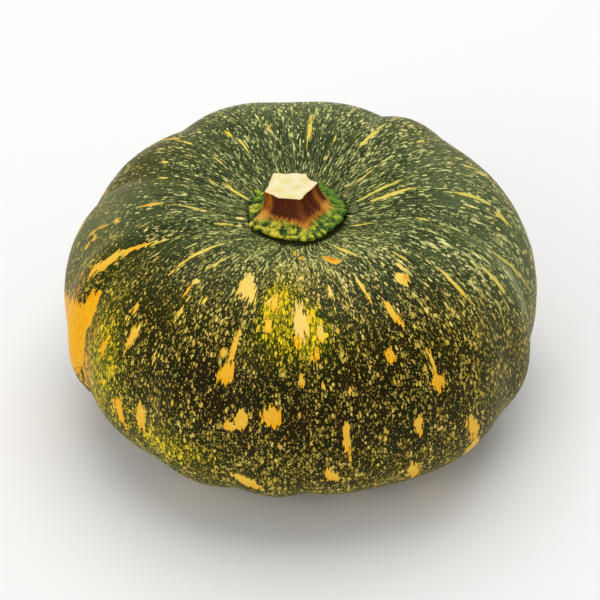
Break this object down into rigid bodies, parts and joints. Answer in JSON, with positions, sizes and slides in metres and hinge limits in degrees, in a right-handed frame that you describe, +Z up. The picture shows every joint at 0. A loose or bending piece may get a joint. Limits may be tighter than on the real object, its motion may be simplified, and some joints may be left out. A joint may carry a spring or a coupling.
{
  "type": "kabocha squash",
  "caption": "Whole ribbed winter squash, flattened and round, with a mottled dark green rind and the cut stub of its flared stem; stands on its blossom end.",
  "frame": {"origin": "on the ground under the middle of the fruit's outline", "axes": "+Z up from the blossom end to the stem; the fruit's front is on the -Y side and +X is to the right"},
  "size_m": [0.2098, 0.2074, 0.1116],
  "materials": {
    "rind": "living squash rind: dark olive green, thickly freckled and streaked with cream and yellow, a few orange patches, waxy half gloss over fine skin grain",
    "stalk": "cut squash stem: green and yellow pleated flare, brown-red fibrous sides, cream porous cut end"
  },
  "bodies": {
    "root": {"fruit": "rind", "stem": "stalk"}
  },
  "joints": []
}
